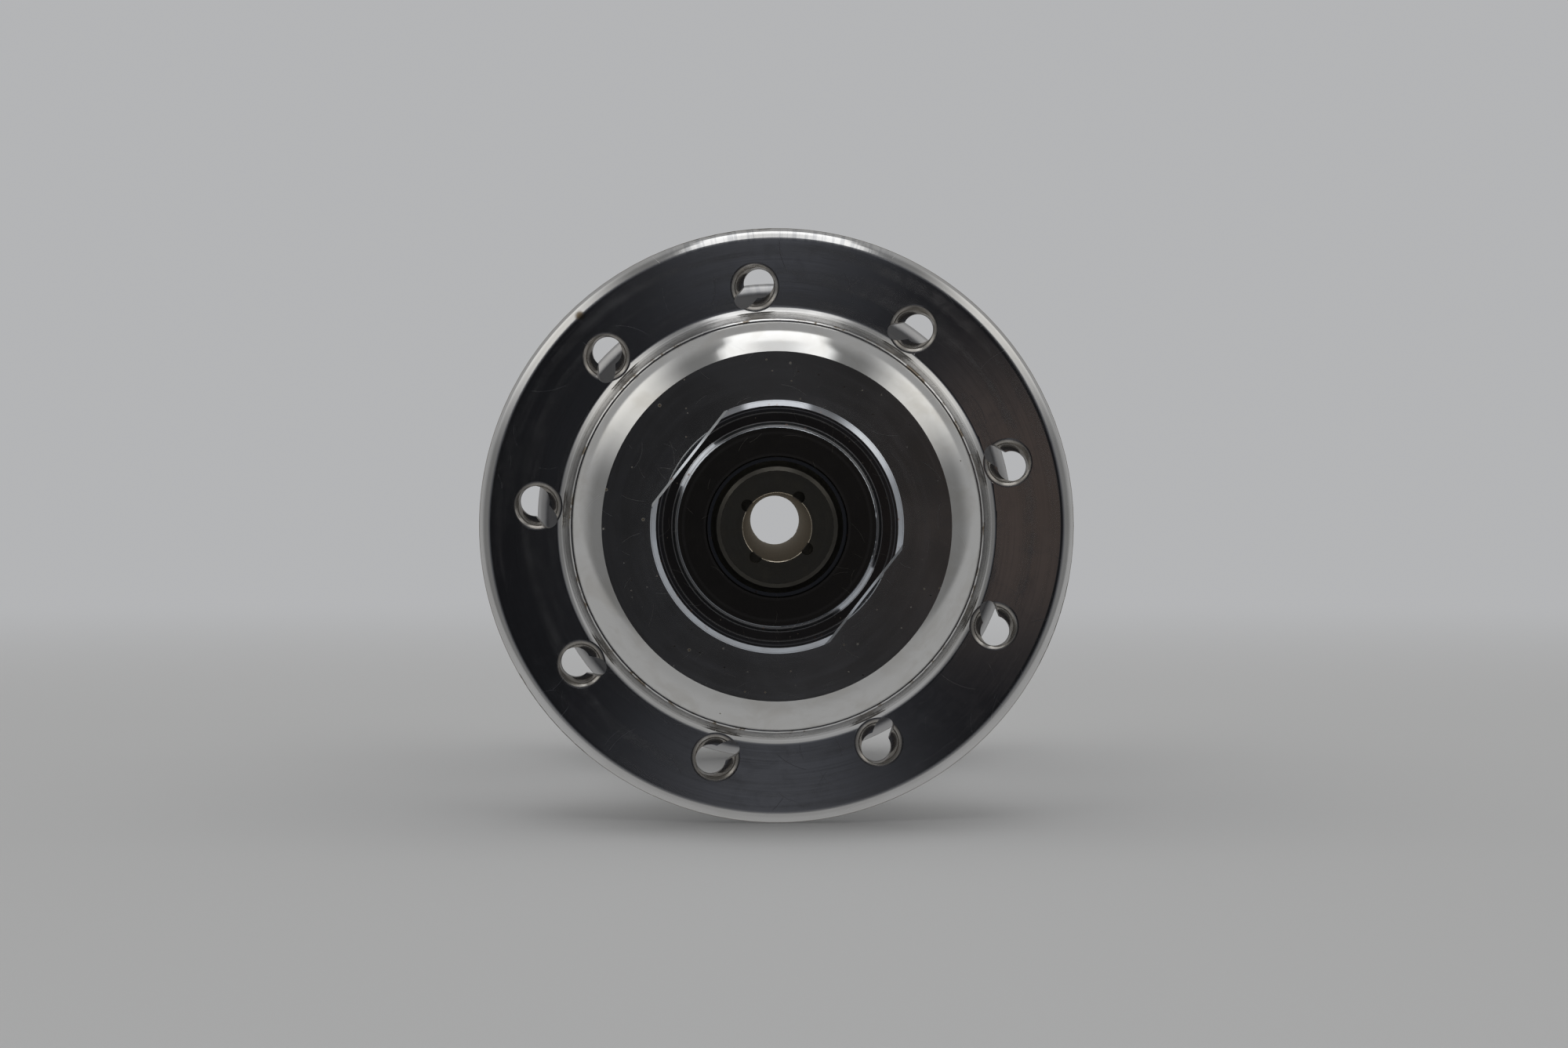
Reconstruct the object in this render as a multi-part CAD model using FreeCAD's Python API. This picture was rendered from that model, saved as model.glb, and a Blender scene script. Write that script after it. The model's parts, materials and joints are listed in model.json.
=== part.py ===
import FreeCAD, Part

import math
import os

# A quick-release bicycle front hub: a polished alloy shell with slotted spoke holes, turning on two
# sealed ball bearings round a hollow steel axle.  The wheel axis is +Y and the origin is the hub's
# centre.  "left" parts are on the +Y side and "right" parts on the -Y side.  Millimetres throughout.

SIDES = {"left": 1, "right": -1}

# Axle
OVER_NUTS = 100.0  # between the two faces that the fork grips
AXLE_LENGTH = 108.0
AXLE_BORE_R = 2.55
AXLE_MOUTH_CHAMFER = 0.06
STUB_R = 4.5
STUB_CHAMFER = 0.3
RELIEF_R = 4.2  # an undercut between each stub and its thread
RELIEF_SLOPE = 0.15
THREAD_R = 5.0
THREAD_CHAMFER = 0.4
SEAT_CHAMFER = 0.3
AXLE_BODY_R = 6.2
AXLE_SHOULDER_R = 7.2
SHOULDER_WIDTH = 2.4
SHOULDER_TAPER = 2.0  # length of the taper behind each shoulder
NOTCH_COUNT = 4
NOTCH_R = 0.46
NOTCH_CENTRE_R = 2.72
NOTCH_DEPTH = 3.0
NOTCH_PHASE = 54.0

# Bearing, a 12 x 28 x 8 sealed ball bearing
BEARING_BORE_R = 6.0
BEARING_R = 14.0
BEARING_WIDTH = 8.0
BALL_R = 2.38
BALL_COUNT = 8
BALL_PITCH_R = 10.0
BALL_CLEARANCE = 0.08
INNER_RACE_R = 8.2
OUTER_RACE_INNER_R = 11.8
RACE_CHAMFER = 0.3
CAGE_HALF_THICKNESS = 0.55
CAGE_HALF_WIDTH = 2.8
CAGE_POCKET_R = 2.5
SEAL_THICKNESS = 0.6
SEAL_RECESS = 0.15
SEAL_GROOVE = 0.4
SEAL_GAP = 0.3

# Shell
FLANGE_R = 23.6
FLANGE_FACE_Y = 36.6  # outer face of each flange
FLANGE_THICKNESS = 3.2
RIM_ROUND = 1.2
BOSS_END_Y = 40.0  # where the boss meets the bearing cap
BOSS_END_R = 16.2
BOSS_FOOT_R = 16.7
BOSS_FILLET = 0.8
SEAM_CHAMFER = 0.12
BARREL_R = 9.8
BARREL_BORE_R = 8.0
BARREL_STRAIGHT = 9.0
SWELL_R = 16.0  # outside radius over the bearing seat
SWELL_START_Y = 26.0
BACK_FILLET = 1.8
BEARING_START_Y = 28.5
SEAT_SHOULDER_R = 12.4
SEAT_SHOULDER_WIDTH = 0.8

# Spoke holes: a round hole with a slot for the blade of a flat spoke, in a shared countersink
SPOKES_PER_FLANGE = 9
SPOKE_HOLE_R = 1.2
SPOKE_PITCH_R = 19.3
SLOT_HALF_WIDTH = 0.7
SLOT_LENGTH = 1.86  # from the hole's centre to the centre of the slot's round end
SLOT_TURN = 45.0  # between the slot and the line to the hub's centre
COUNTERSINK_OFFSET = 0.48
COUNTERSINK_R = 1.45
COUNTERSINK_FLOOR_R = 1.3
COUNTERSINK_DEPTH = 1.1
COUNTERSINK_LIP = 0.55  # radius of its rounded lip
BACK_COUNTERSINK_R = 1.65
BACK_COUNTERSINK_DEPTH = 0.45
HOLE_PHASE = {"right": 14.2, "left": 34.2}

# Bearing cap
CAP_FACE_Y = 44.5
CAP_FLAT_R = 13.45
CAP_SHOULDER_R = 4.85  # radius of the rounded shoulder
CAP_SHOULDER_FROM = 25.0  # its slope where it meets the flat, in degrees
CAP_SHOULDER_TO = 66.0  # and where it meets the straight side
CAP_WALL = 1.5
CAP_OPENING_R = 8.65
CAP_OPENING_CHAMFER = 0.35
CAP_SPIGOT_WALL = 1.4
CAP_SPIGOT_CHAMFER = 0.2
CAP_INNER_ROUND = 1.2

# Lip seal
LIP_SEAL_WIDTH = 1.6
LIP_GAP = 0.3
LIP_WEB = 1.0  # how far the lips stand in from the seal's body
LIP_EDGE = 0.35
LIP_HOLLOW = 0.5
LIP_SLOPE = 0.2

# Race spacer
SPACER_CHAMFER = 0.25
SPACER_STEP = 0.1

# End nut: a collar that the fork grips, a groove round it, then a ridge cut by two spanner flats
NUT_FLATS = 17.0
NUT_FLATS_CHAMFER = 0.2
NUT_R = 9.57
NUT_CHAMFER = 0.45
NUT_BACK_Y = 44.9
NUT_BACK_CHAMFER = 0.3
NUT_NECK_R = 8.2
NUT_NECK_END_Y = 41.0
COLLAR_FACE_R = 7.45
COLLAR_ROUND = 0.15
GROOVE_INNER_R = 7.98
RIDGE_INNER_R = 8.58
RIDGE_DROP = 0.1  # how far the ridge stays below the collar
RIDGE_CHAMFER = 0.08
NUT_MOUTH_R = 5.24  # a shallow counterbore round the stub
NUT_MOUTH_DEPTH = 0.8
NUT_MOUTH_CHAMFER = 0.12
FLATS_ANGLE = {"right": 142.0, "left": 74.0}

# Worked-out places along the axis
HALF_OVER_NUTS = OVER_NUTS / 2
HALF_AXLE = AXLE_LENGTH / 2
BEARING_END_Y = BEARING_START_Y + BEARING_WIDTH
BEARING_MIDDLE_Y = BEARING_START_Y + BEARING_WIDTH / 2
FLANGE_BACK_Y = FLANGE_FACE_Y - FLANGE_THICKNESS
RIDGE_Y = HALF_OVER_NUTS - RIDGE_DROP
COLLAR_SLOPE_R = COLLAR_FACE_R + COLLAR_ROUND * math.sin(math.radians(45))
COLLAR_SLOPE_Y = HALF_OVER_NUTS - COLLAR_ROUND * (1 - math.cos(math.radians(45)))
GROOVE_FLOOR_Y = COLLAR_SLOPE_Y - (GROOVE_INNER_R - COLLAR_SLOPE_R)
AXIS = FreeCAD.Vector(0, 1, 0)
CENTRE = FreeCAD.Vector(0, 0, 0)


class Outline:
    """A closed outline of straight lines and arcs, in radius and distance along the axis."""

    def __init__(self, radius, along):
        self.start = self.here = (radius, along)
        self.runs = []

    def line(self, radius, along):
        self.runs.append(("line", self.here, (radius, along), None))
        self.here = (radius, along)
        return self

    def arc(self, radius, along, centre_radius, centre_along):
        """The short way round the given centre to the new point."""
        middle = middle_of_arc(self.here, (radius, along), (centre_radius, centre_along))
        self.runs.append(("arc", self.here, (radius, along), middle))
        self.here = (radius, along)
        return self

    def wire(self, side):
        """The outline as a wire in the XY plane, on the +Y or the -Y side."""
        if self.here != self.start:
            self.line(*self.start)
        edges = []
        for kind, first, last, middle in self.runs:
            a, b = (FreeCAD.Vector(p[0], side * p[1], 0) for p in (first, last))
            if kind == "line":
                edges.append(Part.makeLine(a, b))
            else:
                m = FreeCAD.Vector(middle[0], side * middle[1], 0)
                edges.append(Part.Arc(a, m, b).toShape())
        return Part.Wire(edges)

    def turned(self, side=1):
        """The solid that the outline sweeps in a full turn round the wheel axis."""
        return Part.Face(self.wire(side)).revolve(CENTRE, AXIS, 360)


def middle_of_arc(first, last, centre):
    """The middle point of the short arc between two points round a centre."""
    a0 = math.atan2(first[1] - centre[1], first[0] - centre[0])
    a1 = math.atan2(last[1] - centre[1], last[0] - centre[0])
    turn = math.remainder(a1 - a0, 2 * math.pi)
    radius = math.dist(first, centre)
    angle = a0 + turn / 2
    return centre[0] + radius * math.cos(angle), centre[1] + radius * math.sin(angle)


def ring(inner_r, outer_r, low, high, chamfer=0.0):
    """A plain ring, with its two outer corners chamfered."""
    outline = Outline(inner_r, low).line(outer_r - chamfer, low)
    if chamfer:
        outline.line(outer_r, low + chamfer).line(outer_r, high - chamfer)
    outline.line(outer_r - chamfer, high)
    return outline.line(inner_r, high)


def cylinder_along_axis(radius, length, x, y, z):
    """A cylinder whose axis is parallel to the wheel axis, starting at y and running along +Y."""
    return Part.makeCylinder(radius, length, FreeCAD.Vector(x, y, z), AXIS)


def turn_about_axis(shape, degrees):
    """A copy turned from +X towards +Z."""
    copy = shape.copy()
    copy.rotate(CENTRE, AXIS, -degrees)
    return copy


def add_shell_outside(outline):
    """Adds the outside of one half of the shell to an outline, from the barrel to the boss."""
    swell_depth = SWELL_R - BARREL_R
    swell_length = SWELL_START_Y - BARREL_STRAIGHT
    bend_r = (swell_length**2 + swell_depth**2) / (4 * swell_depth)
    middle = ((BARREL_R + SWELL_R) / 2, (BARREL_STRAIGHT + SWELL_START_Y) / 2)
    rim_back_y = FLANGE_BACK_Y + RIM_ROUND
    rim_front_y = FLANGE_FACE_Y - RIM_ROUND
    back_foot_y = FLANGE_BACK_Y - BACK_FILLET
    front_foot_y = FLANGE_FACE_Y + BOSS_FILLET
    outline.line(BARREL_R, BARREL_STRAIGHT).arc(*middle, BARREL_R + bend_r, BARREL_STRAIGHT)
    outline.arc(SWELL_R, SWELL_START_Y, SWELL_R - bend_r, SWELL_START_Y)
    outline.line(SWELL_R, back_foot_y)
    outline.arc(SWELL_R + BACK_FILLET, FLANGE_BACK_Y, SWELL_R + BACK_FILLET, back_foot_y)
    outline.line(FLANGE_R - RIM_ROUND, FLANGE_BACK_Y)
    outline.arc(FLANGE_R, rim_back_y, FLANGE_R - RIM_ROUND, rim_back_y)
    outline.line(FLANGE_R, rim_front_y)
    outline.arc(FLANGE_R - RIM_ROUND, FLANGE_FACE_Y, FLANGE_R - RIM_ROUND, rim_front_y)
    outline.line(BOSS_FOOT_R + BOSS_FILLET, FLANGE_FACE_Y)
    outline.arc(BOSS_FOOT_R, front_foot_y, BOSS_FOOT_R + BOSS_FILLET, front_foot_y)
    outline.line(BOSS_END_R, BOSS_END_Y - SEAM_CHAMFER)
    outline.line(BOSS_END_R - SEAM_CHAMFER, BOSS_END_Y)


def shell_bore_half():
    """The space inside one half of the shell: the barrel's bore and the bearing seat."""
    shoulder_y = BEARING_START_Y - SEAT_SHOULDER_WIDTH
    bore = Outline(0, -1).line(BARREL_BORE_R, -1)
    bore.line(BARREL_BORE_R, shoulder_y).line(SEAT_SHOULDER_R, shoulder_y)
    bore.line(SEAT_SHOULDER_R, BEARING_START_Y).line(BEARING_R, BEARING_START_Y)
    bore.line(BEARING_R, BOSS_END_Y + 1).line(0, BOSS_END_Y + 1)
    return bore


def keyhole(side):
    """One spoke hole's cutter, for the hole on the +X side of a flange."""
    low = min(side * (FLANGE_BACK_Y - 1), side * (FLANGE_FACE_Y + 1))
    length = FLANGE_THICKNESS + 2
    inward = -math.cos(math.radians(SLOT_TURN))
    sideways = -side * math.sin(math.radians(SLOT_TURN))
    end_x = SPOKE_PITCH_R + SLOT_LENGTH * inward
    end_z = SLOT_LENGTH * sideways
    hole = cylinder_along_axis(SPOKE_HOLE_R, length, SPOKE_PITCH_R, low, 0)
    slot_end = cylinder_along_axis(SLOT_HALF_WIDTH, length, end_x, low, end_z)
    offset_x = -sideways * SLOT_HALF_WIDTH
    offset_z = inward * SLOT_HALF_WIDTH
    corners = [
        FreeCAD.Vector(SPOKE_PITCH_R + offset_x, low, offset_z),
        FreeCAD.Vector(end_x + offset_x, low, end_z + offset_z),
        FreeCAD.Vector(end_x - offset_x, low, end_z - offset_z),
        FreeCAD.Vector(SPOKE_PITCH_R - offset_x, low, -offset_z),
    ]
    slot = Part.Face(Part.makePolygon(corners + corners[:1]))
    slot = slot.extrude(FreeCAD.Vector(0, length, 0))
    sink_x = SPOKE_PITCH_R + COUNTERSINK_OFFSET * inward
    sink_z = COUNTERSINK_OFFSET * sideways
    front = countersink_outline().turned(side)
    front.translate(FreeCAD.Vector(sink_x, side * FLANGE_FACE_Y, sink_z))
    back = Outline(0, -1).line(BACK_COUNTERSINK_R, -1).line(BACK_COUNTERSINK_R, 0)
    back.line(SPOKE_HOLE_R, BACK_COUNTERSINK_DEPTH).line(0, BACK_COUNTERSINK_DEPTH)
    back = back.turned(side)
    back.translate(FreeCAD.Vector(SPOKE_PITCH_R, side * FLANGE_BACK_Y, 0))
    return hole.fuse([slot_end, slot, front, back])


def countersink_outline():
    """The wide mouth of a spoke hole, with a rounded lip, in its own axis and depth."""
    lip_r = COUNTERSINK_R + COUNTERSINK_LIP
    sink = Outline(0, 1).line(lip_r, 1).line(lip_r, 0)
    sink.arc(COUNTERSINK_R, -COUNTERSINK_LIP, lip_r, -COUNTERSINK_LIP)
    sink.line(COUNTERSINK_FLOOR_R, -COUNTERSINK_DEPTH)
    return sink.line(0, -COUNTERSINK_DEPTH)


def hub_shell():
    """The one-piece shell: barrel, two flanges, two bearing seats and the slotted spoke holes."""
    halves = []
    for name, side in SIDES.items():
        outline = Outline(0, 0).line(BARREL_R, 0)
        add_shell_outside(outline)
        half = outline.line(0, BOSS_END_Y).turned(side)
        half = half.cut(shell_bore_half().turned(side))
        cutters = [
            turn_about_axis(keyhole(side), HOLE_PHASE[name] + 360 * i / SPOKES_PER_FLANGE)
            for i in range(SPOKES_PER_FLANGE)
        ]
        halves.append(half.cut(cutters))
    return halves[0].fuse(halves[1]).removeSplitter()


def bearing_cap(side):
    """The domed cover pressed into the end of the shell: it closes the bearing in."""
    start, stop = (math.radians(a) for a in (CAP_SHOULDER_FROM, CAP_SHOULDER_TO))
    centre_r = CAP_FLAT_R - CAP_SHOULDER_R * math.sin(start)
    centre_y = CAP_FACE_Y - CAP_SHOULDER_R * math.cos(start)
    wall_r = centre_r + CAP_SHOULDER_R * math.sin(stop)
    wall_y = centre_y + CAP_SHOULDER_R * math.cos(stop)
    spigot_inner_r = BEARING_R - CAP_SPIGOT_WALL
    roof_y = CAP_FACE_Y - CAP_WALL
    corner = CAP_INNER_ROUND
    cap = Outline(spigot_inner_r, BEARING_END_Y)
    cap.line(BEARING_R - CAP_SPIGOT_CHAMFER, BEARING_END_Y)
    cap.line(BEARING_R, BEARING_END_Y + CAP_SPIGOT_CHAMFER).line(BEARING_R, BOSS_END_Y)
    cap.line(wall_r - SEAM_CHAMFER, BOSS_END_Y).line(wall_r, BOSS_END_Y + SEAM_CHAMFER)
    cap.line(wall_r, wall_y).arc(CAP_FLAT_R, CAP_FACE_Y, centre_r, centre_y)
    cap.line(CAP_OPENING_R + CAP_OPENING_CHAMFER, CAP_FACE_Y)
    cap.line(CAP_OPENING_R, CAP_FACE_Y - CAP_OPENING_CHAMFER)
    cap.line(CAP_OPENING_R, roof_y).line(spigot_inner_r - corner, roof_y)
    cap.arc(spigot_inner_r, roof_y - corner, spigot_inner_r - corner, roof_y - corner)
    return cap.turned(side)


def lip_seal(side):
    """The rubber ring inside the cap, with two lips that run close to the end nut's neck."""
    outer_r = BEARING_R - CAP_SPIGOT_WALL
    front_y = CAP_FACE_Y - CAP_WALL - CAP_INNER_ROUND
    back_y = front_y - LIP_SEAL_WIDTH
    lip_r = NUT_NECK_R + LIP_GAP
    web_r = lip_r + LIP_WEB
    seal = Outline(outer_r, back_y).line(outer_r, front_y).line(web_r, front_y - LIP_SLOPE)
    seal.line(lip_r, front_y).line(lip_r, front_y - LIP_EDGE)
    seal.line(lip_r + LIP_HOLLOW, (back_y + front_y) / 2)
    seal.line(lip_r, back_y + LIP_EDGE).line(lip_r, back_y).line(web_r, back_y + LIP_SLOPE)
    return seal.turned(side)


def outer_race(side):
    """The bearing's outer ring, with the ball groove and a groove for each seal."""
    groove_r = BALL_R + BALL_CLEARANCE
    half = BEARING_WIDTH / 2
    reach = math.sqrt(groove_r**2 - (OUTER_RACE_INNER_R - BALL_PITCH_R) ** 2)
    seal_r = OUTER_RACE_INNER_R + SEAL_GROOVE
    seal_back = half - SEAL_RECESS - SEAL_THICKNESS
    mid = BEARING_MIDDLE_Y
    race = Outline(seal_r, mid - half).line(BEARING_R - RACE_CHAMFER, mid - half)
    race.line(BEARING_R, mid - half + RACE_CHAMFER).line(BEARING_R, mid + half - RACE_CHAMFER)
    race.line(BEARING_R - RACE_CHAMFER, mid + half).line(seal_r, mid + half)
    race.line(seal_r, mid + seal_back).line(OUTER_RACE_INNER_R, mid + seal_back)
    race.line(OUTER_RACE_INNER_R, mid + reach)
    race.arc(BALL_PITCH_R + groove_r, mid, BALL_PITCH_R, mid)
    race.arc(OUTER_RACE_INNER_R, mid - reach, BALL_PITCH_R, mid)
    race.line(OUTER_RACE_INNER_R, mid - seal_back).line(seal_r, mid - seal_back)
    return race.turned(side)


def inner_race(side):
    """The bearing's inner ring, with the ball groove."""
    groove_r = BALL_R + BALL_CLEARANCE
    half = BEARING_WIDTH / 2
    reach = math.sqrt(groove_r**2 - (BALL_PITCH_R - INNER_RACE_R) ** 2)
    mid = BEARING_MIDDLE_Y
    race = Outline(BEARING_BORE_R + RACE_CHAMFER, mid - half).line(INNER_RACE_R, mid - half)
    race.line(INNER_RACE_R, mid - reach)
    race.arc(BALL_PITCH_R - groove_r, mid, BALL_PITCH_R, mid)
    race.arc(INNER_RACE_R, mid + reach, BALL_PITCH_R, mid)
    race.line(INNER_RACE_R, mid + half).line(BEARING_BORE_R + RACE_CHAMFER, mid + half)
    race.line(BEARING_BORE_R, mid + half - RACE_CHAMFER)
    race.line(BEARING_BORE_R, mid - half + RACE_CHAMFER)
    return race.turned(side)


def ball_centres(side):
    """Where the balls of one bearing sit at rest."""
    for i in range(BALL_COUNT):
        angle = 2 * math.pi * i / BALL_COUNT
        yield FreeCAD.Vector(
            BALL_PITCH_R * math.cos(angle), side * BEARING_MIDDLE_Y, BALL_PITCH_R * math.sin(angle)
        )


def balls(side):
    """The bearing's loose balls, as one group of separate solids."""
    return Part.makeCompound([Part.makeSphere(BALL_R, c) for c in ball_centres(side)])


def ball_cage(side):
    """The ring that keeps the balls apart, with a round pocket for each."""
    blank = ring(
        BALL_PITCH_R - CAGE_HALF_THICKNESS,
        BALL_PITCH_R + CAGE_HALF_THICKNESS,
        BEARING_MIDDLE_Y - CAGE_HALF_WIDTH,
        BEARING_MIDDLE_Y + CAGE_HALF_WIDTH,
    ).turned(side)
    length = 4 * CAGE_HALF_THICKNESS
    pockets = []
    for centre in ball_centres(side):
        outward = FreeCAD.Vector(centre.x, 0, centre.z).normalize()
        start = centre - outward * (length / 2)
        pockets.append(Part.makeCylinder(CAGE_POCKET_R, length, start, outward))
    return blank.cut(pockets)


def bearing_seal(side, outboard):
    """A thin rubber-faced disc clipped into the outer ring, clear of the inner ring."""
    half = BEARING_WIDTH / 2
    low = half - SEAL_RECESS - SEAL_THICKNESS
    high = half - SEAL_RECESS
    if not outboard:
        low, high = -high, -low
    disc = ring(
        INNER_RACE_R + SEAL_GAP,
        OUTER_RACE_INNER_R + SEAL_GROOVE,
        BEARING_MIDDLE_Y + low,
        BEARING_MIDDLE_Y + high,
    )
    return disc.turned(side)


def axle():
    """The hollow axle: two shoulders, two bearing seats, two threads and two fork stubs."""
    seat_end_y = NUT_NECK_END_Y - 0.2
    thread_end_y = HALF_OVER_NUTS - NUT_MOUTH_DEPTH - 0.3
    shoulder_back_y = BEARING_START_Y - SHOULDER_WIDTH
    one_half = [
        (AXLE_BORE_R, HALF_AXLE - AXLE_MOUTH_CHAMFER),
        (AXLE_BORE_R + AXLE_MOUTH_CHAMFER, HALF_AXLE),
        (STUB_R - STUB_CHAMFER, HALF_AXLE),
        (STUB_R, HALF_AXLE - STUB_CHAMFER),
        (STUB_R, HALF_OVER_NUTS),
        (RELIEF_R, HALF_OVER_NUTS - RELIEF_SLOPE),
        (RELIEF_R, thread_end_y + THREAD_CHAMFER),
        (THREAD_R, thread_end_y),
        (THREAD_R, seat_end_y + SEAT_CHAMFER),
        (BEARING_BORE_R - SEAT_CHAMFER, seat_end_y),
        (BEARING_BORE_R, seat_end_y - SEAT_CHAMFER),
        (BEARING_BORE_R, BEARING_START_Y),
        (AXLE_SHOULDER_R, BEARING_START_Y),
        (AXLE_SHOULDER_R, shoulder_back_y),
        (AXLE_BODY_R, shoulder_back_y - SHOULDER_TAPER),
    ]
    outline = Outline(*one_half[0])
    for radius, along in one_half[1:]:
        outline.line(radius, along)
    for radius, along in reversed(one_half):
        outline.line(radius, -along)
    return outline.turned().cut(axle_notches())


def axle_notches():
    """Four small notches for a pin key round the bore's mouth, at each end."""
    cutters = []
    for side in SIDES.values():
        low = min(side * (HALF_AXLE - NOTCH_DEPTH), side * (HALF_AXLE + NOTCH_DEPTH))
        notch = cylinder_along_axis(NOTCH_R, 2 * NOTCH_DEPTH, NOTCH_CENTRE_R, low, 0)
        for i in range(NOTCH_COUNT):
            cutters.append(turn_about_axis(notch, NOTCH_PHASE + 360 * i / NOTCH_COUNT))
    return cutters


def race_spacer(side):
    """The sleeve between the inner ring and the end nut."""
    outer_r = INNER_RACE_R - SPACER_STEP
    sleeve = ring(BEARING_BORE_R, outer_r, BEARING_END_Y, NUT_NECK_END_Y, SPACER_CHAMFER)
    return sleeve.turned(side)


def end_nut(name):
    """The threaded end nut: a neck, a ridge with two spanner flats, a groove and the collar."""
    side = SIDES[name]
    mouth_y = HALF_OVER_NUTS - NUT_MOUTH_DEPTH
    nut = Outline(THREAD_R, NUT_NECK_END_Y + THREAD_CHAMFER)
    nut.line(THREAD_R + THREAD_CHAMFER, NUT_NECK_END_Y)
    nut.line(NUT_NECK_R, NUT_NECK_END_Y).line(NUT_NECK_R, NUT_BACK_Y)
    nut.line(NUT_R - NUT_BACK_CHAMFER, NUT_BACK_Y).line(NUT_R, NUT_BACK_Y + NUT_BACK_CHAMFER)
    nut.line(NUT_R, RIDGE_Y - NUT_CHAMFER).line(NUT_R - NUT_CHAMFER, RIDGE_Y)
    nut.line(RIDGE_INNER_R + RIDGE_CHAMFER, RIDGE_Y).line(RIDGE_INNER_R, RIDGE_Y - RIDGE_CHAMFER)
    nut.line(RIDGE_INNER_R, GROOVE_FLOOR_Y).line(GROOVE_INNER_R, GROOVE_FLOOR_Y)
    nut.line(COLLAR_SLOPE_R, COLLAR_SLOPE_Y)
    nut.arc(COLLAR_FACE_R, HALF_OVER_NUTS, COLLAR_FACE_R, HALF_OVER_NUTS - COLLAR_ROUND)
    nut.line(NUT_MOUTH_R + NUT_MOUTH_CHAMFER, HALF_OVER_NUTS)
    nut.line(NUT_MOUTH_R, HALF_OVER_NUTS - NUT_MOUTH_CHAMFER)
    nut.line(NUT_MOUTH_R, mouth_y).line(THREAD_R, mouth_y)
    return nut.turned(side).common(flats_block(side, FLATS_ANGLE[name]))


def flats_block(side, angle):
    """What the spanner flats leave: a bar of their width, turned so that they face the angle."""
    long = 4 * NUT_R
    half = NUT_FLATS / 2
    narrow = half - NUT_FLATS_CHAMFER
    corners = [
        (half, 0),
        (half, GROOVE_FLOOR_Y - NUT_FLATS_CHAMFER),
        (narrow, GROOVE_FLOOR_Y),
        (narrow, HALF_AXLE),
    ]
    corners += [(-x, y) for x, y in reversed(corners)]
    points = [FreeCAD.Vector(x, side * y, -long / 2) for x, y in corners]
    bar = Part.Face(Part.makePolygon(points + points[:1])).extrude(FreeCAD.Vector(0, 0, long))
    return turn_about_axis(bar, angle)


def build():
    """Every piece of the hub, by name."""
    pieces = {"hub_shell": hub_shell(), "axle": axle()}
    for name, side in SIDES.items():
        pieces[f"bearing_cap_{name}"] = bearing_cap(side)
        pieces[f"lip_seal_{name}"] = lip_seal(side)
        pieces[f"bearing_outer_race_{name}"] = outer_race(side)
        pieces[f"bearing_inner_race_{name}"] = inner_race(side)
        pieces[f"bearing_balls_{name}"] = balls(side)
        pieces[f"bearing_cage_{name}"] = ball_cage(side)
        pieces[f"bearing_seal_outboard_{name}"] = bearing_seal(side, True)
        pieces[f"bearing_seal_inboard_{name}"] = bearing_seal(side, False)
        pieces[f"race_spacer_{name}"] = race_spacer(side)
        pieces[f"end_nut_{name}"] = end_nut(name)
    return pieces


def main():
    os.makedirs("parts", exist_ok=True)
    for name, shape in build().items():
        shape.exportStep(f"parts/{name}.step")
        valid = "valid" if shape.isValid() else "NOT VALID"
        print(f"{name}: {len(shape.Solids)} solid(s), {shape.Volume:.1f} mm3, {valid}")


main()
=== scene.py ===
import json
import math

import bpy
import bmesh
from mathutils import Matrix, Vector


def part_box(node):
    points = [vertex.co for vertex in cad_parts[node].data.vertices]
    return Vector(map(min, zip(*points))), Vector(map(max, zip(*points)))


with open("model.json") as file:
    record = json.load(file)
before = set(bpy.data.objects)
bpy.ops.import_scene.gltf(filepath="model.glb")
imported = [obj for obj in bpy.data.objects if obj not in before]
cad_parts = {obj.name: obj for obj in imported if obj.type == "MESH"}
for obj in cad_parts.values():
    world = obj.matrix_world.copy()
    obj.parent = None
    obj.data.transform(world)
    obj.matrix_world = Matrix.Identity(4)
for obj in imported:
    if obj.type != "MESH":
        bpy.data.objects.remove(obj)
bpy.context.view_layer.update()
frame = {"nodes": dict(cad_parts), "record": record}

# A bicycle front hub seen end-on.  The wheel axis is Y; the end that faces the camera is -Y.  Every
# finish is a node graph in the hub's own coordinates, in millimetres, so that rings, buffing marks and
# stains lie on the metal the way turning and polishing leave them.

# Places on the shell, in millimetres from the wheel axis (R) and from the hub's middle (Y)
FLANGE_R = 23.6
FLANGE_FACE_Y = 36.6
FLANGE_BACK_Y = 33.4
RIM_ROUND = 1.2
RIM_R = FLANGE_R - RIM_ROUND  # centre of the rim's round
RIM_Y = (FLANGE_BACK_Y + RIM_ROUND, FLANGE_FACE_Y - RIM_ROUND)
RIM_TOP = (1.3, 1.85)  # the top of the rim, in radians round the axis from +X
RIM_NICK = (-15.5, -36.35, 16.55)  # a small dent in the near rim
BOSS_FOOT_R = 16.7
BOSS_END_R = 16.2
BOSS_FILLET = 0.8
FILLET_R = BOSS_FOOT_R + BOSS_FILLET  # centre of the round at the foot of each boss
FILLET_Y = FLANGE_FACE_Y + BOSS_FILLET
SEAM_Y = 40.0  # where the boss meets the bearing cap
SWELL_R = 16.0  # of the barrel over the bearings

# The countersink of each spoke hole
HOLE_COUNT = 9
HOLE_PITCH_R = 18.963  # of its centre
HOLE_TURN = {"near": 15.22, "far": 33.18}  # of the first one, in degrees round the axis from +X
HOLE_LIP = (1.15, 1.8)  # where its lip lies, from its centre; darker there from wear and from a painted dark reflection
HOLE_LIP_R = 2.02  # where its rounded lip meets the flange's face

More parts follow.
